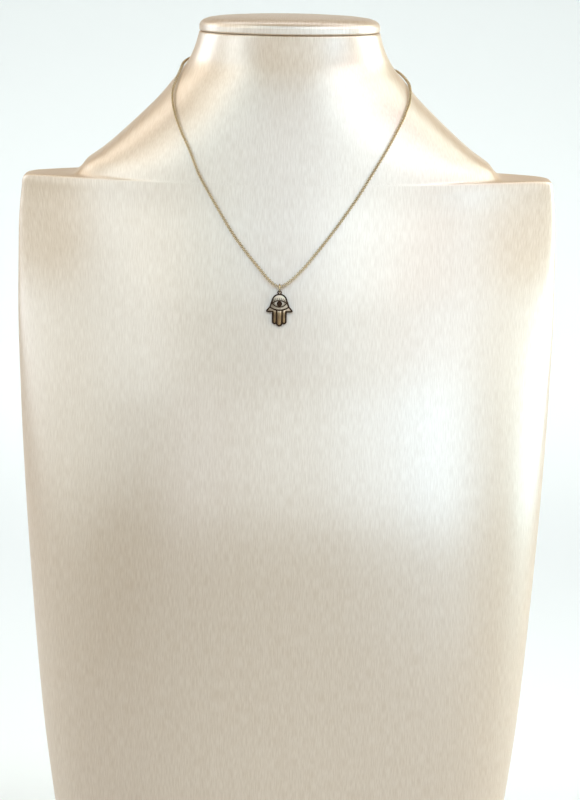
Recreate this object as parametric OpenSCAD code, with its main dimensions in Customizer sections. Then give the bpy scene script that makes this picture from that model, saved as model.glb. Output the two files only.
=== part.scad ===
// Hamsa pendant necklace on a necklace display bust, in millimetres.
// The origin is under the middle of the foot, +Z is up and the chest faces -Y.

/* [Display bust] */
// Height of the bust with its cap
bust_h = 500; // [480:1:540]
// Width over the shoulders
bust_w = 301; // [280:1:330]
// Depth from the chest to the flat back
bust_d = 150; // [135:1:170]
// Height of the neck and its cap over the flat shoulder tops
neck_h = 90; // [80:1:105]
// Width of the neck under the cap
neck_w = 100.4; // [90:0.2:110]
// Depth of the neck under the cap
neck_d = 84; // [74:1:92]
// How far the neck stands behind the middle of the bust
neck_back = 15; // [8:1:20]
// How far the chest falls back at the shoulders, as a share of its depth
chest_crown = 0.9; // [0.5:0.05:0.95]
// How far the front falls back at the foot's sides, as a share of its depth
foot_crown = 0.4; // [0.2:0.05:0.6]
// How far the back comes in at the shoulders, as a share of its depth
back_crown = 0.5; // [0:0.05:0.6]
// Height of the domed cap on the neck
cap_h = 9.2; // [7:0.1:14]
// Open seam under the cap
cap_seam = 0.4; // [0.3:0.1:0.8]

/* [Chain] */
// Thickness over the links
chain_d = 1.95; // [1.6:0.05:2.3]
// How far the chain's lowest place hangs under the shoulder tops
chain_drop = 53.4; // [45:0.2:70]
// Space between the chain and the bust
chain_gap = 0.35; // [0.2:0.05:0.5]
// Space under the chain's middle, where the jump ring passes behind it
ring_gap = 0.25; // [0.2:0.05:0.6]
// Outside diameter of the ring clasp at the nape
clasp_d = 6; // [5:0.5:8]
// Wire of the ring clasp
clasp_wire = 1.3; // [1:0.1:1.6]

/* [Jump ring and eyelet] */
// Inside diameter of the jump ring
ring_bore = 3.8; // [3.6:0.1:4.4]
// Wire of the jump ring
ring_wire = 0.6; // [0.5:0.05:0.8]
// Hole of the pendant's eyelet
eyelet_bore = 1.2; // [1.1:0.05:1.5]
// Wire of the pendant's eyelet
eyelet_wire = 0.65; // [0.55:0.05:0.75]
// Play between linked wires
play = 0.15; // [0.1:0.01:0.2]

/* [Hamsa] */
// Height from the top of the dome to the middle fingertip
hamsa_h = 17.7; // [16:0.1:20]
// Width over the thumbs
hamsa_w = 14.55; // [13:0.05:16]
// Width of the dome
dome_w = 8.6; // [8:0.05:9.4]
// Width of the three fingers together
fingers_w = 8; // [7.4:0.05:8.6]
// Width of the middle finger
middle_w = 2.97; // [2.6:0.01:3.2]
// Thickness of the pendant
hamsa_t = 1.3; // [1.1:0.05:1.8]
// Width of the raised lines
line_w = 0.75; // [0.6:0.05:0.85]
// Height of the raised lines over the plate
line_rise = 0.35; // [0.25:0.05:0.4]
// How far each finger is rounded out
finger_round = 0.2; // [0.1:0.05:0.25]
// Diameter of the iris
iris_d = 3; // [2.8:0.05:3.2]
// Eyelashes over the eye
lashes = 9; // [5:2:11]
// Gap between the plate and the raised lines
plate_gap = 0.05; // [0.03:0.01:0.08]
// Space between the hanging pendant and the chest
rest_gap = 0.3; // [0.2:0.05:0.6]

/* [Hidden] */

leatherette = [0.87, 0.81, 0.74];
gold = [0.72, 0.6, 0.4];
plate_gold = [0.56, 0.47, 0.35];
dark_line = [0.14, 0.09, 0.05];

shoulder_z = bust_h - neck_h;
neck_top = bust_h - cap_h - cap_seam;
bust_sides = 64;
section_step = 18;

// Columns of the section tables, and of the sections worked out from them
Z = 0;
WIDE = 1;
FRONT = 2;
MID = 3;
BACK = 4;
ROUND = 5;

// Torso, from the foot to the shoulder tops: height as a share of shoulder_z, half width as a share
// of half of bust_w, then how far the front, the widest place and the back stand from the middle as
// shares of half of bust_d, and the exponent that rounds the section.
torso_table = [
    [0.000, 0.799, 0.66, 0.24, 0.98, 3.0],
    [0.100, 0.843, 0.75, 0.24, 1.00, 3.0],
    [0.250, 0.898, 0.87, 0.24, 1.00, 3.0],
    [0.420, 0.940, 0.96, 0.24, 1.00, 3.0],
    [0.560, 0.968, 1.00, 0.24, 1.00, 3.1],
    [0.700, 0.989, 0.955, 0.24, 1.00, 3.3],
    [0.830, 1.000, 0.82, 0.24, 0.99, 3.8],
    [0.920, 0.999, 0.68, 0.24, 0.95, 4.6],
    [0.960, 0.994, 0.611, 0.24, 0.92, 5.3],
    [0.980, 0.988, 0.578, 0.235, 0.90, 5.8],
    [0.992, 0.985, 0.559, 0.23, 0.89, 6.2],
    [0.998, 0.976, 0.55, 0.23, 0.885, 6.4],
    [1.000, 0.955, 0.547, 0.23, 0.885, 6.5],
];

// Neck, from the shoulder tops to the cap: height as a share of the neck's height, width and depth
// as shares of the way from the neck's own size to the shoulder's, and the same exponent.
NECK_WIDE = 1;
NECK_DEEP = 2;
NECK_ROUND = 3;
neck_table = [
    [0.012, 0.691, 0.98, 7.0],
    [0.100, 0.620, 0.84, 5.8],
    [0.183, 0.530, 0.71, 4.7],
    [0.308, 0.417, 0.526, 3.6],
    [0.433, 0.312, 0.357, 2.95],
    [0.558, 0.213, 0.214, 2.5],
    [0.683, 0.131, 0.107, 2.2],
    [0.765, 0.077, 0.054, 2.05],
    [0.821, 0.050, 0.029, 2.0],
    [0.903, 0.022, 0.007, 2.0],
    [1.000, 0.000, 0.00, 2.0],
];

// Cap, from the seam to the crown: height as a share of cap_h, and size as a share of the neck's.
cap_table = [
    [0.00, 0.982],
    [0.07, 1.000],
    [0.38, 1.000],
    [0.55, 0.985],
    [0.68, 0.955],
    [0.80, 0.895],
    [0.89, 0.780],
    [0.96, 0.560],
    [1.00, 0.180],
];

function mix(a, b, share) = a + (b - a) * share;

shoulder = torso_table[len(torso_table) - 1];
shoulder_front = -shoulder[FRONT] * bust_d / 2;
shoulder_mid = shoulder[MID] * bust_d / 2;
shoulder_back = shoulder[BACK] * bust_d / 2;

sections = concat(
    [for (row = torso_table) [
        row[Z] * shoulder_z,
        row[WIDE] * bust_w / 2,
        -row[FRONT] * bust_d / 2,
        row[MID] * bust_d / 2,
        row[BACK] * bust_d / 2,
        row[ROUND]
    ]],
    [for (row = neck_table) [
        mix(shoulder_z, neck_top, row[Z]),
        mix(neck_w / 2, bust_w / 2, row[NECK_WIDE]),
        mix(neck_back - neck_d / 2, shoulder_front, row[NECK_DEEP]),
        mix(neck_back, shoulder_mid, row[NECK_DEEP]),
        mix(neck_back + neck_d / 2, shoulder_back, row[NECK_DEEP]),
        row[NECK_ROUND]
    ]]);

// Smooth values between the rows, with no overshoot: a cubic whose slope at a row is the harmonic
// mean of the slopes on both sides, or level where they turn.
function slope_after(i, c) =
    (sections[i + 1][c] - sections[i][c]) / (sections[i + 1][Z] - sections[i][Z]);

function slope_at(i, c) =
    i == 0 ? slope_after(0, c)
    : i == len(sections) - 1 ? slope_after(i - 1, c)
    : let (before = slope_after(i - 1, c), after = slope_after(i, c))
      before * after <= 0 ? 0 : 2 * before * after / (before + after);

function row_under(z, i = 0) =
    i == len(sections) - 2 || z < sections[i + 1][Z] ? i : row_under(z, i + 1);

function cubic(a, b, slope_a, slope_b, t) =
    a * (2 * t ^ 3 - 3 * t ^ 2 + 1) + slope_a * (t ^ 3 - 2 * t ^ 2 + t)
    + b * (3 * t ^ 2 - 2 * t ^ 3) + slope_b * (t ^ 3 - t ^ 2);

function section(z) =
    let (
        i = row_under(z),
        h = sections[i + 1][Z] - sections[i][Z],
        t = (z - sections[i][Z]) / h
    )
    concat([z], [for (c = [WIDE : ROUND])
        cubic(sections[i][c], sections[i + 1][c], slope_at(i, c) * h, slope_at(i + 1, c) * h, t)]);

// The front falls back more and more up to the shoulders, and the same over them
function crown_at(z) =
    let (t = min(z / shoulder_z, 1))
    mix(foot_crown, chest_crown, t ^ 4 * (5 - 4 * t));

// Point of a section in the direction of an angle: 0 is the right side, 90 the back, 270 the front.
function skin_point(s, angle) =
    let (
        c = cos(angle),
        d = sin(angle),
        reach = (abs(c) ^ s[ROUND] + abs(d) ^ s[ROUND]) ^ (-1 / s[ROUND]),
        x = s[WIDE] * reach * c,
        fall = (x / (bust_w / 2)) ^ 2,
        y = d < 0 ? s[MID] + (s[MID] - s[FRONT]) * (1 - crown_at(s[Z]) * fall) * reach * d
                  : s[MID] + (s[BACK] - s[MID]) * (1 - back_crown * fall) * reach * d
    )
    [x, y, s[Z]];

// Outward direction of the bust's skin
function skin_normal(angle, z) =
    let (
        turn = 0.05,
        rise = 0.05,
        along = skin_point(section(z), angle + turn) - skin_point(section(z), angle - turn),
        up = skin_point(section(z + rise), angle) - skin_point(section(z - rise), angle),
        n = cross(along, up)
    )
    n / norm(n);

// Angle of the front skin at a share of the section's half width, and of the back skin at a given x
function front_angle(share, z) =
    let (power = section(z)[ROUND], u = min(abs(share), 1))
    360 + atan2(-(1 - u ^ power) ^ (1 / power), share < 0 ? -u : u);

function back_angle(x, z) =
    let (s = section(z), u = abs(x) / s[WIDE])
    atan2((1 - u ^ s[ROUND]) ^ (1 / s[ROUND]), x < 0 ? -u : u);

function off_skin(angle, z, lift) = skin_point(section(z), angle) + lift * skin_normal(angle, z);

// Closed solid through rings of points that all have the same count
module loft(rings) {
    n = len(rings[0]);
    last = len(rings) - 1;
    sides = [for (i = [0 : last - 1], k = [0 : n - 1])
        let (a = i * n + k, b = i * n + (k + 1) % n)
        each [[a, b + n, b], [a, a + n, b + n]]];
    polyhedron(
        points = [for (ring = rings) each ring],
        faces = concat(sides, [[for (k = [0 : n - 1]) k]],
            [[for (k = [n - 1 : -1 : 0]) last * n + k]]));
}

module bust_form() {
    levels = concat(
        [for (i = [0 : len(sections) - 2])
            let (
                low = sections[i][Z],
                high = sections[i + 1][Z],
                steps = ceil((high - low) / section_step)
            )
            each [for (k = [0 : steps - 1]) mix(low, high, k / steps)]],
        [neck_top]);
    color(leatherette)
        loft([for (z = levels) let (s = section(z))
            [for (k = [0 : bust_sides - 1]) skin_point(s, 360 * k / bust_sides)]]);
}

module bust_cap() {
    color(leatherette)
        loft([for (row = cap_table)
            [for (k = [0 : bust_sides - 1]) let (a = 360 * k / bust_sides) [
                row[1] * neck_w / 2 * cos(a),
                neck_back + row[1] * neck_d / 2 * sin(a),
                neck_top + cap_seam + row[0] * cap_h
            ]]]);
}

// The chain lies on the skin. These are the places that it touches, chosen by hand. On the front a
// row has a share of the section's half width, then a height; round the nape it has an angle, then a
// height. Heights are shares of the neck's height over the shoulder tops, or of chain_drop under them.
hang_across = -0.0225;
chain_left_nape = [[110, 0.83], [128, 0.825], [146, 0.815], [163, 0.8], [178, 0.772], [190, 0.737]];
chain_front = [
    [-0.968, 0.7], [-0.946, 0.655], [-0.92, 0.604], [-0.874, 0.547], [-0.774, 0.454],
    [-0.667, 0.355], [-0.542, 0.228], [-0.411, 0.05], [-0.2805, -0.112], [-0.2395, -0.29],
    [-0.198, -0.468], [-0.136, -0.693], [-0.093, -0.832], [-0.06, -0.937], [-0.0375, -0.987],
    [hang_across, -1],
    [-0.0075, -0.987], [0.016, -0.94], [0.0545, -0.837], [0.117, -0.629], [0.168, -0.449],
    [0.2155, -0.271], [0.2615, -0.094], [0.392, 0.062], [0.503, 0.193], [0.585, 0.276],
    [0.677, 0.361], [0.756, 0.425], [0.829, 0.483], [0.892, 0.53], [0.943, 0.576],
    [0.978, 0.616], [0.998, 0.65],
];
chain_right_nape = [[360, 0.668], [372, 0.714], [387, 0.746], [404, 0.775], [422, 0.803], [438, 0.825]];
nape_share = 0.833;

function route_z(share) =
    share > 0 ? mix(shoulder_z, neck_top, share) : shoulder_z + share * chain_drop;

nape_z = route_z(nape_share);
hang_z = route_z(-1);

// The chain stands off the skin by its own gap, and round its lowest place by the jump ring's
ring_out = ring_bore / 2 + ring_wire;
ring_drop = ring_bore / 2 - chain_d / 2 - play;
chain_lift = chain_d / 2 + chain_gap;
chain_rise = max(ring_out + ring_gap - chain_lift, 0);
chain_rise_reach = 0.41 * chain_drop;
chain_sides = 8;
chain_step = 4.6 * chain_d;

function lift_at(z) =
    let (t = min(max((z - hang_z) / chain_rise_reach, 0), 1))
    chain_lift + chain_rise * (1 - t) ^ 2 * (1 + 2 * t);

chain_end_x = clasp_d / 2 + play;
chain_knots = concat(
    [off_skin(back_angle(-chain_end_x, nape_z), nape_z, chain_lift)],
    [for (p = chain_left_nape) off_skin(p[0], route_z(p[1]), chain_lift)],
    [for (p = chain_front) let (z = route_z(p[1])) off_skin(front_angle(p[0], z), z, lift_at(z))],
    [for (p = chain_right_nape) off_skin(p[0], route_z(p[1]), chain_lift)],
    [off_skin(back_angle(chain_end_x, nape_z), nape_z, chain_lift)]);

// Smooth route through the knots, with the direction at each knot weighted by the spans beside it
function knot_way(i) =
    let (
        last = len(chain_knots) - 1,
        before = i == 0 ? chain_knots[1] - chain_knots[0] : chain_knots[i] - chain_knots[i - 1],
        after = i == last ? before : chain_knots[i + 1] - chain_knots[i],
        a = norm(before),
        b = norm(after)
    )
    (before / a * b + after / b * a) / (a + b);

chain_route = concat(
    [for (i = [0 : len(chain_knots) - 2])
        let (
            a = chain_knots[i],
            b = chain_knots[i + 1],
            span = norm(b - a),
            steps = ceil(span / chain_step)
        )
        each [for (k = [0 : steps - 1])
            cubic(a, b, knot_way(i) * span, knot_way(i + 1) * span, k / steps)]],
    [chain_knots[len(chain_knots) - 1]]);

// Ring of points round a route, square to it, with its first point away from the bust's axis
function tube_ring(route, i, r) =
    let (
        last = len(route) - 1,
        way = route[min(i + 1, last)] - route[max(i - 1, 0)],
        ahead = way / norm(way),
        out = [route[i][0], route[i][1] - neck_back, 0],
        side = cross(ahead, out) / norm(cross(ahead, out)),
        up = cross(side, ahead)
    )
    [for (k = [0 : chain_sides - 1]) let (a = 360 * (k + 0.5) / chain_sides)
        route[i] + r * (cos(a) * up + sin(a) * side)];

module chain() {
    color(gold)
        loft([for (i = [0 : len(chain_route) - 1]) tube_ring(chain_route, i, chain_d / 2)]);
}

// Ring of round wire about +Z
module wire_ring(bore, wire, fn) {
    rotate_extrude($fn = fn)
        translate([(bore + wire) / 2, 0])
            circle(d = wire, $fn = 24);
}

module clasp() {
    color(gold)
        translate(off_skin(90, nape_z, chain_lift))
            rotate([90, 0, 0])
                wire_ring(clasp_d - 2 * clasp_wire, clasp_wire, 48);
}

// Where the pendant hangs: the middle of the chain's lowest place, and the middle of the jump
// ring's lowest wire, which the eyelet turns about. The pendant leans on the chest with its tip.
hang = off_skin(front_angle(hang_across, hang_z), hang_z, lift_at(hang_z));
pivot_drop = ring_drop + ring_bore / 2 + ring_wire / 2;
eyelet_sunk = 0.05;
eyelet_drop = eyelet_bore / 2 - ring_wire / 2 - play;
dome_drop = eyelet_drop + eyelet_bore / 2 + eyelet_sunk;
tip_drop = pivot_drop + dome_drop + hamsa_h;
tip_z = hang[2] - 0.99 * tip_drop;
tip_y = skin_point(section(tip_z), front_angle(hang_across, tip_z))[1] - rest_gap - hamsa_t / 2;
lean = asin((hang[1] - tip_y) / tip_drop);

module hanging(drop) {
    translate(hang)
        rotate([-lean, 0, 0])
            translate([0, 0, -drop])
                children();
}

module jump_ring() {
    color(gold)
        hanging(ring_drop)
            rotate([0, 90, 0])
                wire_ring(ring_bore, ring_wire, 48);
}

// The hamsa is drawn from the front, from the top of its dome down. The outline is the middle of
// its raised line.
dome_r = (dome_w - line_w) / 2;
half_fingers = (fingers_w - line_w) / 2;
half_middle = middle_w / 2;
side_r = (half_fingers - half_middle) / 2;
side_x = half_middle + side_r;
tip_line = -hamsa_h + line_w / 2;
side_tip = 0.0665 * hamsa_h;

// Flare and thumb, from the dome round the thumb to the fingers: x as a share of the half width
// over the thumbs, and depth under the dome's top as a share of the height.
thumb_table = [
    [0.560, 0.203],
    [0.611, 0.258],
    [0.678, 0.341],
    [0.749, 0.411],
    [0.874, 0.467],
    [1.000, 0.530],
    [0.862, 0.551],
    [0.706, 0.548],
    [0.400, 0.545],
];
thumb = [for (p = thumb_table) [p[0] * (hamsa_w - line_w) / 2, -p[1] * hamsa_h]];

module hand_2d() {
    dome_z = -line_w / 2 - dome_r;
    translate([0, dome_z])
        circle(dome_r, $fn = 64);
    polygon(concat(thumb, [for (i = [len(thumb) - 1 : -1 : 0]) [-thumb[i][0], thumb[i][1]]]));
    side_z = tip_line + side_tip + side_r;
    for (s = [-1, 1])
        translate([s * side_x, side_z])
            circle(side_r, $fn = 32);
    translate([-half_fingers, side_z])
        square([2 * half_fingers, -side_z - 0.5 * hamsa_h]);
    translate([0, tip_line + half_middle])
        circle(half_middle, $fn = 32);
    translate([-half_middle, tip_line + half_middle])
        square([2 * half_middle, hamsa_h / 2]);
}

// The palm's lower line, the eyelids and the lashes, as shares of the height under the dome's top
palm_half = 0.737 * (hamsa_w - line_w) / 2;
palm_low = 0.506 * hamsa_h;
palm_sag = 0.095 * hamsa_h;
lid_meet = 0.486 * dome_w;
lid_low = 0.411 * hamsa_h;
lid_sag = 0.150 * hamsa_h;
lid_half = 0.44 * dome_w;
lid_top = 0.2155 * hamsa_h;
lid_arch = 0.0765 * hamsa_h;
iris_down = 0.3135 * hamsa_h;
thin_w = 0.7 * line_w;
lash_w = 0.42 * line_w;
lash_len = 0.085 * hamsa_h;
lash_fan = 84;
last_lash = 0.86;

// The side fingers, between the raised lines on both sides
side_from = half_middle + thin_w / 2 + plate_gap;
side_to = half_fingers - line_w / 2 - plate_gap;

// Line along an arc that is half_chord wide each way, with its middle at a height. It sags by sag
// at the middle, or arches up where sag is negative.
module arc_line(half_chord, sag, middle_z, width) {
    r = (half_chord ^ 2 + sag ^ 2) / (2 * abs(sag));
    reach = asin(half_chord / r);
    steps = 16;
    function edge(d) = [for (k = [0 : steps])
        let (a = mix(-reach, reach, k / steps))
        [(r + d) * sin(a), middle_z + sign(sag) * (r - (r + d) * cos(a))]];
    inner = edge(-width / 2);
    polygon(concat(edge(width / 2), [for (k = [steps : -1 : 0]) inner[k]]));
}

// Eyelash on the upper lid, at a share of the way from the middle to the last one
module lash_2d(share) {
    lid_r = (lid_half ^ 2 + lid_arch ^ 2) / (2 * lid_arch);
    x = share * last_lash * lid_half;
    translate([x, -lid_top - lid_r + sqrt(lid_r ^ 2 - x ^ 2)])
        rotate(-share * lash_fan / 2)
            polygon([[-lash_w / 2, 0], [lash_w / 2, 0], [lash_w / 4, lash_len], [-lash_w / 4, lash_len]]);
}

module inner_lines_2d() {
    arc_line(palm_half, palm_sag, -palm_low, line_w);
    arc_line(lid_meet, lid_sag, -lid_low, thin_w);
    arc_line(lid_half, -lid_arch, -lid_top, thin_w);
    translate([0, -iris_down])
        circle(d = iris_d, $fn = 32);
    for (k = [0 : lashes - 1])
        lash_2d(mix(-1, 1, k / (lashes - 1)));
    for (s = [-1, 1])
        translate([s * half_middle - thin_w / 2, tip_line + half_middle])
            square([thin_w, hamsa_h - palm_low - line_w / 2 - half_middle]);
}

// Raises a drawing from one depth to another, counted from the pendant's front
module raised(from, to) {
    translate([0, -hamsa_t / 2 + to, 0])
        rotate([90, 0, 0])
            linear_extrude(to - from)
                children();
}

module plate_2d() {
    offset(r = -line_w / 2 - plate_gap, $fn = 16)
        hand_2d();
}

// Rounded front of a finger, up to the middle of the palm line
module finger_ridge(x, half_width) {
    r = (half_width ^ 2 + finger_round ^ 2) / (2 * finger_round);
    palm_r = (palm_half ^ 2 + palm_sag ^ 2) / (2 * palm_sag);
    top = -palm_low + palm_r - sqrt(palm_r ^ 2 - x ^ 2);
    translate([x, line_rise - finger_round + r - hamsa_t / 2, -hamsa_h])
        cylinder(r = r, h = top + hamsa_h, $fn = 96);
}

module hamsa_plate() {
    color(plate_gold)
        hanging(pivot_drop + dome_drop) {
            raised(line_rise, hamsa_t)
                plate_2d();
            intersection() {
                raised(line_rise - finger_round, (line_rise + hamsa_t) / 2)
                    difference() {
                        plate_2d();
                        offset(delta = plate_gap)
                            inner_lines_2d();
                    }
                union() {
                    finger_ridge(0, half_middle - thin_w / 2 - plate_gap);
                    for (s = [-1, 1])
                        finger_ridge(s * (side_from + side_to) / 2, (side_to - side_from) / 2);
                }
            }
        }
}

module hamsa_lines() {
    color(dark_line)
        hanging(pivot_drop + dome_drop) {
            raised(0, hamsa_t)
                difference() {
                    offset(r = line_w / 2, $fn = 16)
                        hand_2d();
                    offset(r = -line_w / 2, $fn = 16)
                        hand_2d();
                }
            raised(0, line_rise - plate_gap)
                intersection() {
                    hand_2d();
                    inner_lines_2d();
                }
            translate([0, 0, dome_drop - eyelet_drop])
                rotate([90, 0, 0])
                    wire_ring(eyelet_bore, eyelet_wire, 32);
        }
}

bust_form();
bust_cap();
chain();
clasp();
jump_ring();
hamsa_plate();
hamsa_lines();
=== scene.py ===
"""Looks for the hamsa pendant necklace on its display bust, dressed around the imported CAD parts.

Lengths in the tables and constants are millimetres, as in the part's source; meshes are in metres.
"""

import math

import bpy
import numpy as np
from mathutils import Matrix, Vector


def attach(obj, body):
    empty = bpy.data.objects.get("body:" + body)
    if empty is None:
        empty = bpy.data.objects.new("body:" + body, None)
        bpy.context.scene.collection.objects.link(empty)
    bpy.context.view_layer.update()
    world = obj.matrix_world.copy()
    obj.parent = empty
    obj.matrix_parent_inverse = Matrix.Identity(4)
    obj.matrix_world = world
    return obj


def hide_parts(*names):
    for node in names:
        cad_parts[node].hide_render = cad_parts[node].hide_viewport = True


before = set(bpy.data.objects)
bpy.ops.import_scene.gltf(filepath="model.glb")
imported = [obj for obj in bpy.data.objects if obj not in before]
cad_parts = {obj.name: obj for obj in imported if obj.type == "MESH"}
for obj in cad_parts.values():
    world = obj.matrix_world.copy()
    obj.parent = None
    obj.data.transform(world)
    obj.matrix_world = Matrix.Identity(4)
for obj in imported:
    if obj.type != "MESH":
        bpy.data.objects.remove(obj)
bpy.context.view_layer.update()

MM = 0.001

# ---------------------------------------------------------------- sizes of the bust, as in the CAD
BUST_H, BUST_W, BUST_D = 500.0, 301.0, 150.0
NECK_H = 90.0
SHOULDER_Z = BUST_H - NECK_H
NECK_W, NECK_D, NECK_BACK = 100.4, 84.0, 15.0
CHEST_CROWN, FOOT_CROWN, BACK_CROWN = 0.9, 0.4, 0.5
CAP_H, CAP_SEAM = 9.2, 0.4
NECK_TOP = BUST_H - CAP_H - CAP_SEAM

# height share, half width share, front, widest place, back, rounding exponent
TORSO = [
    (0.000, 0.799, 0.66, 0.24, 0.98, 3.0),
    (0.100, 0.843, 0.75, 0.24, 1.00, 3.0),
    (0.250, 0.898, 0.87, 0.24, 1.00, 3.0),
    (0.420, 0.940, 0.96, 0.24, 1.00, 3.0),
    (0.560, 0.968, 1.00, 0.24, 1.00, 3.1),
    (0.700, 0.989, 0.955, 0.24, 1.00, 3.3),
    (0.830, 1.000, 0.82, 0.24, 0.99, 3.8),
    (0.920, 0.999, 0.68, 0.24, 0.95, 4.6),
    (0.960, 0.994, 0.611, 0.24, 0.92, 5.3),
    (0.980, 0.988, 0.578, 0.235, 0.90, 5.8),
    (0.992, 0.985, 0.559, 0.23, 0.89, 6.2),
    (0.998, 0.976, 0.55, 0.23, 0.885, 6.4),
    (1.000, 0.955, 0.547, 0.23, 0.885, 6.5),
]
# height share, width share, depth share, rounding exponent
NECK = [
    (0.012, 0.691, 0.98, 7.0),
    (0.100, 0.620, 0.84, 5.8),
    (0.183, 0.530, 0.71, 4.7),
    (0.308, 0.417, 0.526, 3.6),
    (0.433, 0.312, 0.357, 2.95),
    (0.558, 0.213, 0.214, 2.5),
    (0.683, 0.131, 0.107, 2.2),
    (0.765, 0.077, 0.054, 2.05),
    (0.821, 0.050, 0.029, 2.0),
    (0.903, 0.022, 0.007, 2.0),
    (1.000, 0.000, 0.00, 2.0),
]
# height share, size share
CAP = [(0.00, 0.982), (0.07, 1.000), (0.38, 1.000), (0.55, 0.985), (0.68, 0.955), (0.80, 0.895),
       (0.89, 0.780), (0.96, 0.560), (1.00, 0.180)]


def mix(a, b, t):
    return a + (b - a) * t


def section_rows():
    rows = [(h * SHOULDER_Z, w * BUST_W / 2, -f * BUST_D / 2, m * BUST_D / 2, b * BUST_D / 2, n)
            for h, w, f, m, b, n in TORSO]
    _, _, top_front, top_mid, top_back, _ = rows[-1]
    rows += [(mix(SHOULDER_Z, NECK_TOP, h), mix(NECK_W / 2, BUST_W / 2, w),
              mix(NECK_BACK - NECK_D / 2, top_front, d), mix(NECK_BACK, top_mid, d),
              mix(NECK_BACK + NECK_D / 2, top_back, d), n)
             for h, w, d, n in NECK]
    return np.array(rows)


ROWS = section_rows()
HEIGHTS = ROWS[:, 0]


def row_slopes():
    after = np.diff(ROWS[:, 1:], axis=0) / np.diff(HEIGHTS)[:, None]
    slopes = np.zeros((len(ROWS), 5))
    slopes[0], slopes[-1] = after[0], after[-1]
    a, b = after[:-1], after[1:]
    turns = a * b <= 0
    slopes[1:-1] = np.where(turns, 0, 2 * a * b / np.where(turns, 1, a + b))
    return slopes


SLOPES = row_slopes()


def cubic(a, b, slope_a, slope_b, t):
    return (a * (2 * t**3 - 3 * t**2 + 1) + slope_a * (t**3 - 2 * t**2 + t)
            + b * (3 * t**2 - 2 * t**3) + slope_b * (t**3 - t**2))


def section(z):
    """Half width, front, widest place, back and exponent at a height"""
    i = int(np.clip(np.searchsorted(HEIGHTS, z, side="right") - 1, 0, len(ROWS) - 2))
    h = HEIGHTS[i + 1] - HEIGHTS[i]
    t = (z - HEIGHTS[i]) / h
    return cubic(ROWS[i, 1:], ROWS[i + 1, 1:], SLOPES[i] * h, SLOPES[i + 1] * h, t)


def crown_at(z):
    t = min(z / SHOULDER_Z, 1)
    return mix(FOOT_CROWN, CHEST_CROWN, t**4 * (5 - 4 * t))


def skin_point(angle, z):
    """Skin's point at an angle: 0 the right side, 90 the back, 270 the front"""
    wide, front, mid, back, power = section(z)
    c, s = np.cos(np.radians(angle)), np.sin(np.radians(angle))
    reach = (np.abs(c)**power + np.abs(s)**power)**(-1 / power)
    x = wide * reach * c
    fall = (x / (BUST_W / 2))**2
    deep = np.where(s < 0, (mid - front) * (1 - crown_at(z) * fall),
                    (back - mid) * (1 - BACK_CROWN * fall))
    y = mid + deep * reach * s
    return np.stack([x, y, np.full_like(x, z)], axis=-1)


def skin_normal(angle, z):
    turn, rise = 0.05, 0.05
    along = skin_point(angle + turn, z) - skin_point(angle - turn, z)
    up = skin_point(angle, z + rise) - skin_point(angle, z - rise)
    n = np.cross(along, up)
    return n / np.linalg.norm(n)


def front_angle(share, z):
    power = section(z)[4]
    u = min(abs(share), 1)
    return 360 + math.degrees(math.atan2(-(1 - u**power)**(1 / power), math.copysign(u, share)))


def back_angle(x, z):
    wide, _, _, _, power = section(z)
    u = abs(x) / wide
    return math.degrees(math.atan2((1 - u**power)**(1 / power), math.copysign(u, x)))


def off_skin(angle, z, lift):
    return skin_point(np.float64(angle), z) + lift * skin_normal(np.float64(angle), z)


# ---------------------------------------------------------------- meshes
def new_object(name, verts, faces, material):
    mesh = bpy.data.meshes.new(name)
    mesh.from_pydata([tuple(v) for v in np.asarray(verts) * MM], [], faces)
    mesh.materials.append(material)
    mesh.polygons.foreach_set("use_smooth", [True] * len(mesh.polygons))
    mesh.update()
    obj = bpy.data.objects.new(name, mesh)
    bpy.context.scene.collection.objects.link(obj)
    return obj


def loft(name, rings, material):
    """Closed smooth skin through rings of points, with a uv map in metres along the covering"""
    rings = np.asarray(rings)
    levels, n, _ = rings.shape
    verts = rings.reshape(-1, 3)
    faces = [(i * n + k, i * n + (k + 1) % n, (i + 1) * n + (k + 1) % n, (i + 1) * n + k)
             for i in range(levels - 1) for k in range(n)]
    faces.append(tuple(range(n - 1, -1, -1)))
    faces.append(tuple((levels - 1) * n + k for k in range(n)))
    obj = new_object(name, verts, faces, material)

    # Ring 0 starts at the back, so the uv seam is there
    around = np.linalg.norm(np.diff(np.concatenate([rings, rings[:, :1]], axis=1), axis=1), axis=-1)
    run = np.concatenate([np.zeros((levels, 1)), np.cumsum(around, axis=1)], axis=1)
    run -= run[:, n // 2:n // 2 + 1]
    rise = np.linalg.norm(np.diff(rings, axis=0), axis=-1)
    climb = np.concatenate([np.zeros((1, n)), np.cumsum(rise, axis=0)])
    climb = np.concatenate([climb, climb[:, :1]], axis=1)
    layer = obj.data.uv_layers.new(name="covering")
    uv = np.zeros((len(obj.data.loops), 2))
    at = 0
    for i in range(levels - 1):
        for k in range(n):
            for di, dk in ((0, 0), (0, 1), (1, 1), (1, 0)):
                uv[at] = run[i + di, k + dk], climb[i + di, k + dk]
                at += 1
    for v in list(range(n - 1, -1, -1)) + [(levels - 1) * n + k for k in range(n)]:
        uv[at] = verts[v, 0], verts[v, 1] + climb[v // n, n // 2]
        at += 1
    layer.data.foreach_set("uv", (uv * MM).ravel())
    return obj


# ---------------------------------------------------------------- materials
def shader(name):
    m = bpy.data.materials.new(name)
    m.use_nodes = True
    nt = m.node_tree
    return m, nt, nt.nodes["Principled BSDF"]


def node(nt, kind, **sets):
    n = nt.nodes.new(kind)
    for key, value in sets.items():
        if hasattr(n, key):
            setattr(n, key, value)
        else:
            n.inputs[key.replace("_", " ")].default_value = value
    return n


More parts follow.
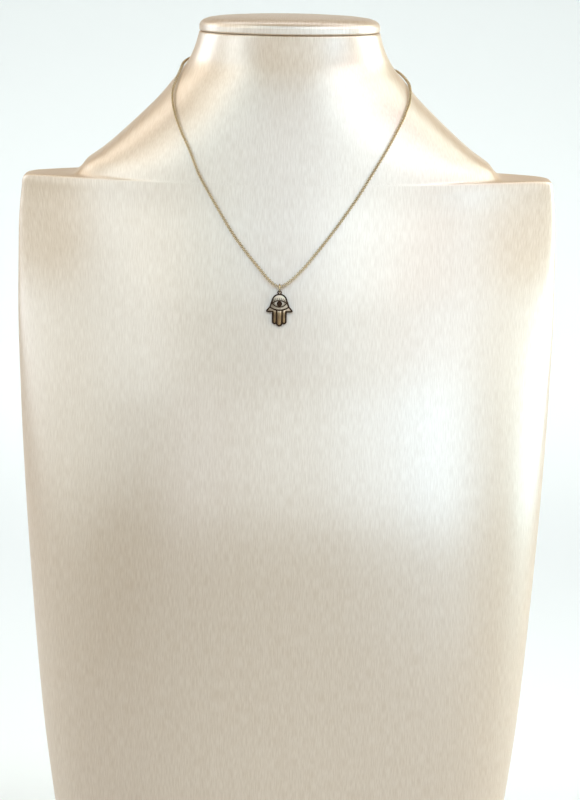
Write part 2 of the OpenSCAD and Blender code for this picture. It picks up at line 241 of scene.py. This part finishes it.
def streak_noise(nt, source, across, along, detail=2.0, seed=0.0):
    """Noise drawn out along the covering: sizes in metres"""
    mapping = node(nt, "ShaderNodeMapping")
    mapping.inputs["Scale"].default_value = (1 / across, 1 / along, 1 / across)
    mapping.inputs["Location"].default_value = (seed, seed * 0.7, seed * 1.3)
    nt.links.new(source, mapping.inputs["Vector"])
    noise = node(nt, "ShaderNodeTexNoise")
    noise.inputs["Scale"].default_value = 1.0
    noise.inputs["Detail"].default_value = detail
    noise.inputs["Roughness"].default_value = 0.55
    nt.links.new(mapping.outputs["Vector"], noise.inputs["Vector"])
    return noise.outputs["Fac"]


def colour_ramp(nt, fac, stops):
    ramp = node(nt, "ShaderNodeValToRGB")
    el = ramp.color_ramp.elements
    while len(el) < len(stops):
        el.new(0.5)
    for e, (pos, col) in zip(el, stops):
        e.position = pos
        e.color = (*col, 1)
    nt.links.new(fac, ramp.inputs["Fac"])
    return ramp.outputs["Color"]


def smooth_share(nt, value, low, high, start=0.0, end=1.0):
    """Number that goes smoothly from start to end while value goes from low to high"""
    share = node(nt, "ShaderNodeMapRange", interpolation_type="SMOOTHSTEP")
    for name, number in zip(("From Min", "From Max", "To Min", "To Max"), (low, high, start, end)):
        share.inputs[name].default_value = number
    nt.links.new(value, share.inputs["Value"])
    return share.outputs["Result"]


def leatherette():
    """Champagne pearl covering with fine upright streaks"""
    m, nt, bsdf = shader("leatherette")
    coords = node(nt, "ShaderNodeTexCoord").outputs["UV"]
    fine = streak_noise(nt, coords, 0.00055, 0.0065, 3.0)
    broad = streak_noise(nt, coords, 0.0028, 0.045, 1.5, seed=7.3)
    both = node(nt, "ShaderNodeMix", data_type="FLOAT")
    both.inputs[0].default_value = 0.12
    nt.links.new(fine, both.inputs[2])
    nt.links.new(broad, both.inputs[3])
    col = colour_ramp(nt, both.outputs[0], [(0.4, (0.56, 0.345, 0.168)), (0.5, (0.62, 0.41, 0.233)),
                                            (0.6, (0.68, 0.475, 0.298))])
    nt.links.new(col, bsdf.inputs["Base Color"])
    bsdf.inputs["Roughness"].default_value = 0.6
    bsdf.inputs["Specular IOR Level"].default_value = 0.4

    # Painted shade: the pearl coat's sheen is cut down over the shoulders' ends and the middle of
    # the throat, so they look warmer and darker, as if those parts turned away from the lights
    split = node(nt, "ShaderNodeSeparateXYZ")
    nt.links.new(node(nt, "ShaderNodeTexCoord").outputs["Object"], split.inputs[0])
    out = node(nt, "ShaderNodeMath", operation="ABSOLUTE")
    nt.links.new(split.outputs["X"], out.inputs[0])
    ends = node(nt, "ShaderNodeMath", operation="MULTIPLY")
    nt.links.new(smooth_share(nt, out.outputs[0], 0.085, 0.135), ends.inputs[0])
    nt.links.new(smooth_share(nt, split.outputs["Z"], 0.325, 0.38), ends.inputs[1])
    throat = node(nt, "ShaderNodeMath", operation="MULTIPLY")
    nt.links.new(smooth_share(nt, out.outputs[0], 0.01, 0.03, 0.8, 0), throat.inputs[0])
    nt.links.new(smooth_share(nt, split.outputs["Z"], 0.452, 0.478), throat.inputs[1])
    below_cap = node(nt, "ShaderNodeMath", operation="MULTIPLY")
    nt.links.new(throat.outputs[0], below_cap.inputs[0])
    nt.links.new(smooth_share(nt, split.outputs["Z"], 0.49, 0.4908, 1, 0), below_cap.inputs[1])
    painted_shade = node(nt, "ShaderNodeMath", operation="MAXIMUM")
    nt.links.new(ends.outputs[0], painted_shade.inputs[0])
    nt.links.new(below_cap.outputs[0], painted_shade.inputs[1])
    nt.links.new(smooth_share(nt, painted_shade.outputs[0], 0, 1, 1.0, 0.62), bsdf.inputs["Coat Weight"])
    bsdf.inputs["Coat IOR"].default_value = 4.0
    bsdf.inputs["Coat Roughness"].default_value = 0.38
    bump = node(nt, "ShaderNodeBump")
    bump.inputs["Strength"].default_value = 0.8
    bump.inputs["Distance"].default_value = 0.0002
    nt.links.new(both.outputs[0], bump.inputs["Height"])
    nt.links.new(bump.outputs["Normal"], bsdf.inputs["Normal"])
    return m


METAL_GRAIN = 0.0004


def metal(name, colour, roughness, metallic=1.0, wear=None):
    """Metal with a faint uneven polish; wear is a second colour in small patches"""
    m, nt, bsdf = shader(name)
    coords = node(nt, "ShaderNodeTexCoord").outputs["Object"]
    noise = streak_noise(nt, coords, METAL_GRAIN, METAL_GRAIN, 3.0)
    stops = [(0.35, wear or tuple(c * 0.9 for c in colour)), (0.6, colour)]
    nt.links.new(colour_ramp(nt, noise, stops), bsdf.inputs["Base Color"])
    rough = node(nt, "ShaderNodeMapRange")
    rough.inputs["To Min"].default_value = roughness * 0.8
    rough.inputs["To Max"].default_value = roughness * 1.25
    nt.links.new(noise, rough.inputs["Value"])
    nt.links.new(rough.outputs["Result"], bsdf.inputs["Roughness"])
    bsdf.inputs["Metallic"].default_value = metallic
    return m


def gold_with_painted_reflections():
    """Gold-toned metal with painted reflections: painted bright on the dome's top and darker
    towards the fingers, and lighter on the right than on the left, as if lit from the right
    """
    m, nt, bsdf = shader("pendant_gold")
    coords = node(nt, "ShaderNodeTexCoord")
    split = node(nt, "ShaderNodeSeparateXYZ")
    nt.links.new(coords.outputs["Generated"], split.inputs[0])
    grain = streak_noise(nt, coords.outputs["Object"], 0.0009, 0.0009, 3.0)
    height = node(nt, "ShaderNodeMath", operation="MULTIPLY_ADD")
    nt.links.new(grain, height.inputs[0])
    height.inputs[1].default_value = 0.16
    nt.links.new(split.outputs["Z"], height.inputs[2])
    # Painted reflection: dark gold at the fingers, lighter bands across the middle, and bright on
    # the dome's top where the lights above would reflect
    painted_light_ramp = colour_ramp(nt, height.outputs[0], [
        (0.1, (0.24, 0.145, 0.07)), (0.5, (0.28, 0.175, 0.095)), (0.6, (0.56, 0.42, 0.30)),
        (0.7, (0.46, 0.35, 0.255)), (0.84, (0.27, 0.20, 0.13)), (1.0, (0.95, 0.77, 0.59))])
    # Painted light: the right side is made lighter and the left darker, as if lit from the right
    side = colour_ramp(nt, split.outputs["X"], [
        (0.2, (0.7, 0.68, 0.66)), (0.5, (1, 1, 1)), (0.8, (1.3, 1.3, 1.3))])
    painted_reflection = node(nt, "ShaderNodeMix", data_type="RGBA", blend_type="MULTIPLY", clamp_result=True)
    painted_reflection.inputs[0].default_value = 1
    nt.links.new(painted_light_ramp, painted_reflection.inputs[6])
    nt.links.new(side, painted_reflection.inputs[7])

    # The whites of the eye are painted lighter, and a dark rim is painted round the iris
    across = node(nt, "ShaderNodeMath", operation="MULTIPLY_ADD")
    nt.links.new(split.outputs["X"], across.inputs[0])
    across.inputs[1].default_value, across.inputs[2].default_value = 4.6, -2.3
    down = node(nt, "ShaderNodeMath", operation="MULTIPLY_ADD")
    nt.links.new(split.outputs["Z"], down.inputs[0])
    down.inputs[1].default_value, down.inputs[2].default_value = 12.0, -8.76
    place = node(nt, "ShaderNodeCombineXYZ")
    nt.links.new(across.outputs[0], place.inputs["X"])
    nt.links.new(down.outputs[0], place.inputs["Y"])
    far = node(nt, "ShaderNodeVectorMath", operation="LENGTH")
    nt.links.new(place.outputs[0], far.inputs[0])
    eye = colour_ramp(nt, far.outputs["Value"], [
        (0.44, (0.05, 0.03, 0.02)), (0.54, (0.68, 0.56, 0.46))])
    share = colour_ramp(nt, far.outputs["Value"], [(0.78, (1, 1, 1)), (1.0, (0, 0, 0))])
    paint = node(nt, "ShaderNodeMix", data_type="RGBA")
    nt.links.new(share, paint.inputs[0])
    nt.links.new(painted_reflection.outputs[2], paint.inputs[6])
    nt.links.new(eye, paint.inputs[7])
    nt.links.new(paint.outputs[2], bsdf.inputs["Base Color"])
    bsdf.inputs["Metallic"].default_value = 1.0
    bsdf.inputs["Roughness"].default_value = 0.3
    return m


pearl = leatherette()
gold = metal("chain_gold", (0.62, 0.48, 0.29), 0.2)
plate_gold = gold_with_painted_reflections()
dark = metal("dark_lines", (0.022, 0.009, 0.003), 0.55, metallic=0.0, wear=(0.05, 0.022, 0.009))
dark.node_tree.nodes["Principled BSDF"].inputs["Specular IOR Level"].default_value = 0.1

# ---------------------------------------------------------------- bust and cap
SIDES = 256
ANGLES = 90 + 360 * np.arange(SIDES) / SIDES


def bust_levels():
    levels = []
    for low, high in zip(HEIGHTS[:-1], HEIGHTS[1:]):
        step = 0.35 if high - low < 1.2 else 1.2 if high - low < 8.5 else 3.2
        n = math.ceil((high - low) / step)
        levels += [mix(low, high, k / n) for k in range(n)]
    return levels + [NECK_TOP]


def bust_rings():
    rings = [skin_point(ANGLES, z) for z in bust_levels()]
    # The covering turns in at the open seam under the cap
    rim = rings[-1]
    way = rim - [0, NECK_BACK, 0]
    way[:, 2] = 0
    way /= np.linalg.norm(way, axis=-1)[:, None]
    for inset, rise in ((0.3, 0.025), (1.2, 0.06)):
        ring = rim - way * inset
        ring[:, 2] = NECK_TOP + rise
        rings.append(ring)
    return rings


bust_skin = loft("bust_skin", bust_rings(), pearl)
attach(bust_skin, "bust")
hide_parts("bust_form")


def cap_rings():
    heights = np.array([r[0] for r in CAP])
    sizes = np.array([r[1] for r in CAP])
    a = np.radians(ANGLES)
    rings = []
    for h in np.concatenate([np.linspace(0, 0.8, 28, endpoint=False), np.linspace(0.8, 1, 26)]):
        size = np.interp(h, heights, sizes)
        x = size * NECK_W / 2 * np.cos(a)
        y = NECK_BACK + size * NECK_D / 2 * np.sin(a)
        rings.append(np.stack([x, y, np.full(SIDES, NECK_TOP + CAP_SEAM + h * CAP_H)], axis=-1))
    return rings


cap_skin = loft("cap_skin", cap_rings(), pearl)
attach(cap_skin, "bust")
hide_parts("bust_cap")

# ---------------------------------------------------------------- chain
CHAIN_D, CHAIN_GAP, RING_GAP = 1.95, 0.35, 0.25
CLASP_D, CLASP_WIRE = 6.0, 1.3
RING_BORE, RING_WIRE, PLAY = 3.8, 0.6, 0.15
CHAIN_DROP = 53.4
HANG_ACROSS = -0.0225
LEFT_NAPE = [(110, 0.83), (128, 0.825), (146, 0.815), (163, 0.8), (178, 0.772), (190, 0.737)]
FRONT_ROUTE = [
    (-0.968, 0.7), (-0.946, 0.655), (-0.92, 0.604), (-0.874, 0.547), (-0.774, 0.454),
    (-0.667, 0.355), (-0.542, 0.228), (-0.411, 0.05), (-0.2805, -0.112), (-0.2395, -0.29),
    (-0.198, -0.468), (-0.136, -0.693), (-0.093, -0.832), (-0.06, -0.937), (-0.0375, -0.987),
    (HANG_ACROSS, -1),
    (-0.0075, -0.987), (0.016, -0.94), (0.0545, -0.837), (0.117, -0.629), (0.168, -0.449),
    (0.2155, -0.271), (0.2615, -0.094), (0.392, 0.062), (0.503, 0.193), (0.585, 0.276),
    (0.677, 0.361), (0.756, 0.425), (0.829, 0.483), (0.892, 0.53), (0.943, 0.576),
    (0.978, 0.616), (0.998, 0.65),
]
RIGHT_NAPE = [(360, 0.668), (372, 0.714), (387, 0.746), (404, 0.775), (422, 0.803), (438, 0.825)]
NAPE_SHARE = 0.833


def route_z(share):
    return mix(SHOULDER_Z, NECK_TOP, share) if share > 0 else SHOULDER_Z + share * CHAIN_DROP


NAPE_Z, HANG_Z = route_z(NAPE_SHARE), route_z(-1)
CHAIN_LIFT = CHAIN_D / 2 + CHAIN_GAP
CHAIN_RISE = max(RING_BORE / 2 + RING_WIRE + RING_GAP - CHAIN_LIFT, 0)
CHAIN_RISE_REACH = 0.41 * CHAIN_DROP


def lift_at(z):
    t = min(max((z - HANG_Z) / CHAIN_RISE_REACH, 0), 1)
    return CHAIN_LIFT + CHAIN_RISE * (1 - t)**2 * (1 + 2 * t)


def chain_curve():
    """Points every 0.05 mm or so along the chain's middle, from the left end to the right end"""
    end_x = CLASP_D / 2 + PLAY
    knots = [off_skin(back_angle(-end_x, NAPE_Z), NAPE_Z, CHAIN_LIFT)]
    knots += [off_skin(a, route_z(h), CHAIN_LIFT) for a, h in LEFT_NAPE]
    for share, h in FRONT_ROUTE:
        z = route_z(h)
        knots.append(off_skin(front_angle(share, z), z, lift_at(z)))
    knots += [off_skin(a, route_z(h), CHAIN_LIFT) for a, h in RIGHT_NAPE]
    knots += [off_skin(back_angle(end_x, NAPE_Z), NAPE_Z, CHAIN_LIFT)]
    knots = np.array(knots)
    spans = np.diff(knots, axis=0)
    long = np.linalg.norm(spans, axis=1)
    unit = spans / long[:, None]
    ways = np.empty_like(knots)
    ways[0], ways[-1] = unit[0], unit[-1]
    before, after = long[:-1, None], long[1:, None]
    ways[1:-1] = (unit[:-1] * after + unit[1:] * before) / (before + after)
    points = []
    for i in range(len(knots) - 1):
        t = np.arange(0, 1, 0.05 / long[i])[:, None]
        points.append(cubic(knots[i], knots[i + 1], ways[i] * long[i], ways[i + 1] * long[i], t))
    return np.concatenate(points + [knots[-1:]])


LINK_WIRE = 0.45
LINK_OUT = 1.87
LINK_PITCH = 0.95
LINK_TWIST = 12
LINK_SIDES, WIRE_SIDES = 14, 6
END_WIRE, END_RADIUS, END_STRETCH = 0.45, 0.95, 0.45


def ring_mesh(centre, along, across, radius, wire, stretch=0.0):
    """Ring of wire in the plane of two directions, drawn out along the first by stretch"""
    up = np.cross(along, across)
    a = 2 * np.pi * (np.arange(LINK_SIDES) + 0.5) / LINK_SIDES
    out = np.cos(a)[:, None] * along + np.sin(a)[:, None] * across
    mid = centre + radius * out + np.sign(np.cos(a))[:, None] * stretch * along
    b = 2 * np.pi * np.arange(WIRE_SIDES) / WIRE_SIDES
    turn = np.cos(b)[None, :, None] * out[:, None] + np.sin(b)[None, :, None] * up
    verts = mid[:, None] + wire / 2 * turn
    return verts.reshape(-1, 3)


def ring_faces(start):
    n, m = LINK_SIDES, WIRE_SIDES
    return [(start + i * m + j, start + (i + 1) % n * m + j, start + (i + 1) % n * m + (j + 1) % m,
             start + i * m + (j + 1) % m) for i in range(n) for j in range(m)]


def outward(point, ahead):
    """Direction away from the bust, square to the chain"""
    x, y, z = point
    angle = math.degrees(math.atan2(y - NECK_BACK, x))
    span = 40.0
    for _ in range(6):
        tries = angle + np.linspace(-span, span, 17)
        angle = tries[np.argmin(np.linalg.norm(skin_point(tries, z) - point, axis=1))]
        span /= 6
    n = skin_normal(np.float64(angle), z)
    n = n - ahead * n.dot(ahead)
    return n / np.linalg.norm(n)


def build_chain():
    curve = chain_curve()
    ahead = np.gradient(curve, axis=0)
    ahead /= np.linalg.norm(ahead, axis=1)[:, None]
    run = np.concatenate([[0], np.cumsum(np.linalg.norm(np.diff(curve, axis=0), axis=1))])
    # The end rings pass round the clasp's wire, and the small links start inside them
    clasp_mid = CLASP_D / 2 - CLASP_WIRE / 2
    end_x = clasp_mid + END_STRETCH + (END_RADIUS - END_WIRE / 2) - CLASP_WIRE / 2 - 0.04
    tip_x = end_x + END_STRETCH + END_RADIUS
    first = tip_x + LINK_OUT / 2 - LINK_WIRE - END_WIRE / 2 - 0.02 - abs(curve[0][0])
    length = run[-1] - 2 * first
    count = round(length / LINK_PITCH) + 1
    if count % 2 == 0:
        count += 1
    places = first + length * np.arange(count) / (count - 1)
    verts, faces = [], []
    for i, s in enumerate(places):
        k = int(np.clip(np.searchsorted(run, s), 1, len(run) - 1))
        t = (s - run[k - 1]) / (run[k] - run[k - 1])
        centre = mix(curve[k - 1], curve[k], t)
        n = outward(centre, ahead[k])
        side = np.cross(ahead[k], n)
        twist = math.radians(LINK_TWIST + 90 * (i % 2))
        across = math.cos(twist) * n + math.sin(twist) * side
        faces += ring_faces(sum(len(v) for v in verts))
        verts.append(ring_mesh(centre, ahead[k], across, (LINK_OUT - LINK_WIRE) / 2, LINK_WIRE))
    clasp_y = off_skin(90, NAPE_Z, CHAIN_LIFT)
    for s in (-1, 1):
        faces += ring_faces(sum(len(v) for v in verts))
        verts.append(ring_mesh(clasp_y + np.array([s * end_x, 0, 0]), np.array([1.0, 0, 0]),
                               np.array([0, 1.0, 0]), END_RADIUS, END_WIRE, END_STRETCH))
    pitch = length / (count - 1)
    print("chain: loop of", round(run[-1], 1), "mm,", count, "links, pitch", round(pitch, 3))
    return new_object("chain_links", np.concatenate(verts), faces, gold)


chain_links = build_chain()
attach(chain_links, "bust")
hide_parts("chain")


# ---------------------------------------------------------------- pendant, ring and clasp, from CAD
def dress(name, material, bevel):
    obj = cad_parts[name]
    obj.data.materials.clear()
    obj.data.materials.append(material)
    weld = obj.modifiers.new("weld", "WELD")
    weld.merge_threshold = 1e-6
    edge = obj.modifiers.new("edges", "BEVEL")
    edge.width = bevel * MM
    edge.segments = 2
    edge.limit_method = "ANGLE"
    edge.angle_limit = math.radians(40)


dress("hamsa_plate", plate_gold, 0.05)
dress("hamsa_lines", dark, 0.06)
for name in ("jump_ring", "clasp"):
    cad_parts[name].data.materials.clear()
    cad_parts[name].data.materials.append(gold)


# ---------------------------------------------------------------- studio
def paper_with_painted_wash():
    """Backdrop paper painted from light grey in front to nearly white behind the bust: a painted
    wash of light behind it
    """
    m, nt, bsdf = shader("studio_paper")
    split = node(nt, "ShaderNodeSeparateXYZ")
    nt.links.new(node(nt, "ShaderNodeTexCoord").outputs["Object"], split.inputs[0])
    share = smooth_share(nt, split.outputs["Y"], -0.1, 0.35)
    painted_light_ramp = colour_ramp(nt, share, [(0, (0.64, 0.65, 0.65)), (1, (0.91, 0.94, 0.93))])
    nt.links.new(painted_light_ramp, bsdf.inputs["Base Color"])
    bsdf.inputs["Roughness"].default_value = 0.9
    bsdf.inputs["Specular IOR Level"].default_value = 0.2
    return m


PAPER_REACH, PAPER_BACK, PAPER_BEND = 2600, 2300, 500


def backdrop():
    """Floor that curves up into the wall behind"""
    profile = [(-PAPER_REACH, 0), (PAPER_BACK, 0)]
    profile += [(PAPER_BACK + PAPER_BEND * math.sin(a), PAPER_BEND - PAPER_BEND * math.cos(a))
                for a in np.radians(np.arange(6, 91, 6))]
    profile += [(PAPER_BACK + PAPER_BEND, PAPER_REACH)]
    verts = [(x, y, z) for y, z in profile for x in (-PAPER_REACH, PAPER_REACH)]
    faces = [(2 * i, 2 * i + 1, 2 * i + 3, 2 * i + 2) for i in range(len(profile) - 1)]
    obj = new_object("studio_backdrop", verts, faces, paper_with_painted_wash())
    obj.location.z = -0.0002


backdrop()


def soft_box(name, place, aim, size, power, colour, spread):
    light = bpy.data.lights.new(name, "AREA")
    light.shape = "RECTANGLE"
    light.size, light.size_y = size
    light.energy = power
    light.spread = math.radians(spread)
    light.color = colour
    obj = bpy.data.objects.new(name, light)
    bpy.context.scene.collection.objects.link(obj)
    obj.location = place
    obj.rotation_euler = (Vector(aim) - Vector(place)).to_track_quat("-Z", "Y").to_euler()


# The soft boxes stand round the bust on a ball of this radius; metres, and degrees for the spread
BOX_FAR, BOX_SIZE, BOX_AIM, BOX_SPREAD = 1.5, 0.8, 0.3, 72
# Azimuth from the front and elevation, both in degrees, then watts and tint
SOFT_BOXES = [
    (-110, 12, 1.43, (0.87, 0.95, 1.00)),
    (-110, 35, 0.67, (1.00, 0.86, 0.68)),
    (-85, -4, 0.35, (0.88, 1.00, 0.99)),
    (-60, 35, 0.66, (1.00, 0.95, 0.83)),
    (-60, 12, 0.53, (0.78, 0.93, 1.00)),
    (-30, 35, 0.57, (0.72, 0.93, 1.00)),
    (-30, -4, 0.50, (0.83, 0.92, 1.00)),
    (0, 35, 0.51, (0.66, 0.83, 1.00)),
    (0, -4, 0.62, (0.81, 0.94, 1.00)),
    (30, 35, 1.02, (0.77, 0.93, 1.00)),
    (30, -4, 0.86, (0.74, 0.90, 1.00)),
    (60, 35, 0.81, (1.00, 0.98, 1.00)),
    (60, -4, 1.18, (0.64, 0.85, 1.00)),
    (85, 35, 0.51, (1.00, 0.76, 0.82)),
    (110, 35, 0.58, (0.85, 1.00, 0.88)),
    (110, 12, 2.22, (0.97, 1.00, 0.89)),
    (110, -4, 1.36, (0.54, 0.85, 1.00)),
]
for i, (azimuth, rise, watts, tint) in enumerate(SOFT_BOXES):
    a, e = math.radians(azimuth), math.radians(rise)
    place = (BOX_FAR * math.sin(a) * math.cos(e), -BOX_FAR * math.cos(a) * math.cos(e),
             BOX_AIM + BOX_FAR * math.sin(e))
    soft_box(f"soft_box_{i}", place, (0, 0, BOX_AIM), (BOX_SIZE, BOX_SIZE), watts, tint, BOX_SPREAD)

soft_box("neck_light", (-0.56, -0.24, 0.5), (-0.02, -0.02, 0.47), (0.14, 0.14), 0.0028,
         (1, 0.98, 0.94), 11)
soft_box("rear_wash", (0, 0.45, 1.5), (0, 0.9, 0), (2.0, 0.4), 6.8, (1, 1, 1), 130)
soft_box("back_wash", (0, 1.6, 2.0), (0, 2.3, 0), (3.0, 1.2), 22, (0.96, 0.98, 0.97), 110)

world = bpy.data.worlds.new("studio")
world.use_nodes = True
world.node_tree.nodes["Background"].inputs["Color"].default_value = (0.78, 0.84, 0.86, 1)
world.node_tree.nodes["Background"].inputs["Strength"].default_value = 0.03
bpy.context.scene.world = world
bpy.context.scene.view_settings.view_transform = "Standard"

# ---------------------------------------------------------------- camera, matched to the photo
CAMERA_FAR = 2000.0
CAMERA_DOWN = math.radians(9.0)
CAMERA_ROLL = math.radians(0.8)
PICTURE_H = 448.0
SENSOR_H = 24.0
TARGET = np.array([3.0, 0.0, 286.0])


def place_camera():
    look = np.array([0, math.cos(CAMERA_DOWN), -math.sin(CAMERA_DOWN)])
    flat = np.array([1.0, 0, 0])
    rise = np.array([0, math.sin(CAMERA_DOWN), math.cos(CAMERA_DOWN)])
    right = math.cos(CAMERA_ROLL) * flat + math.sin(CAMERA_ROLL) * rise
    up = -math.sin(CAMERA_ROLL) * flat + math.cos(CAMERA_ROLL) * rise
    place = (TARGET - look * CAMERA_FAR) * MM
    data = bpy.data.cameras.new("camera")
    data.sensor_fit = "VERTICAL"
    data.sensor_height = SENSOR_H
    data.lens = SENSOR_H * CAMERA_FAR / PICTURE_H
    data.clip_start, data.clip_end = 0.05, 20
    obj = bpy.data.objects.new("camera", data)
    bpy.context.scene.collection.objects.link(obj)
    rows = Matrix((right, up, -look)).transposed().to_4x4()
    obj.matrix_world = Matrix.Translation(place) @ rows
    bpy.context.scene.camera = obj


place_camera()
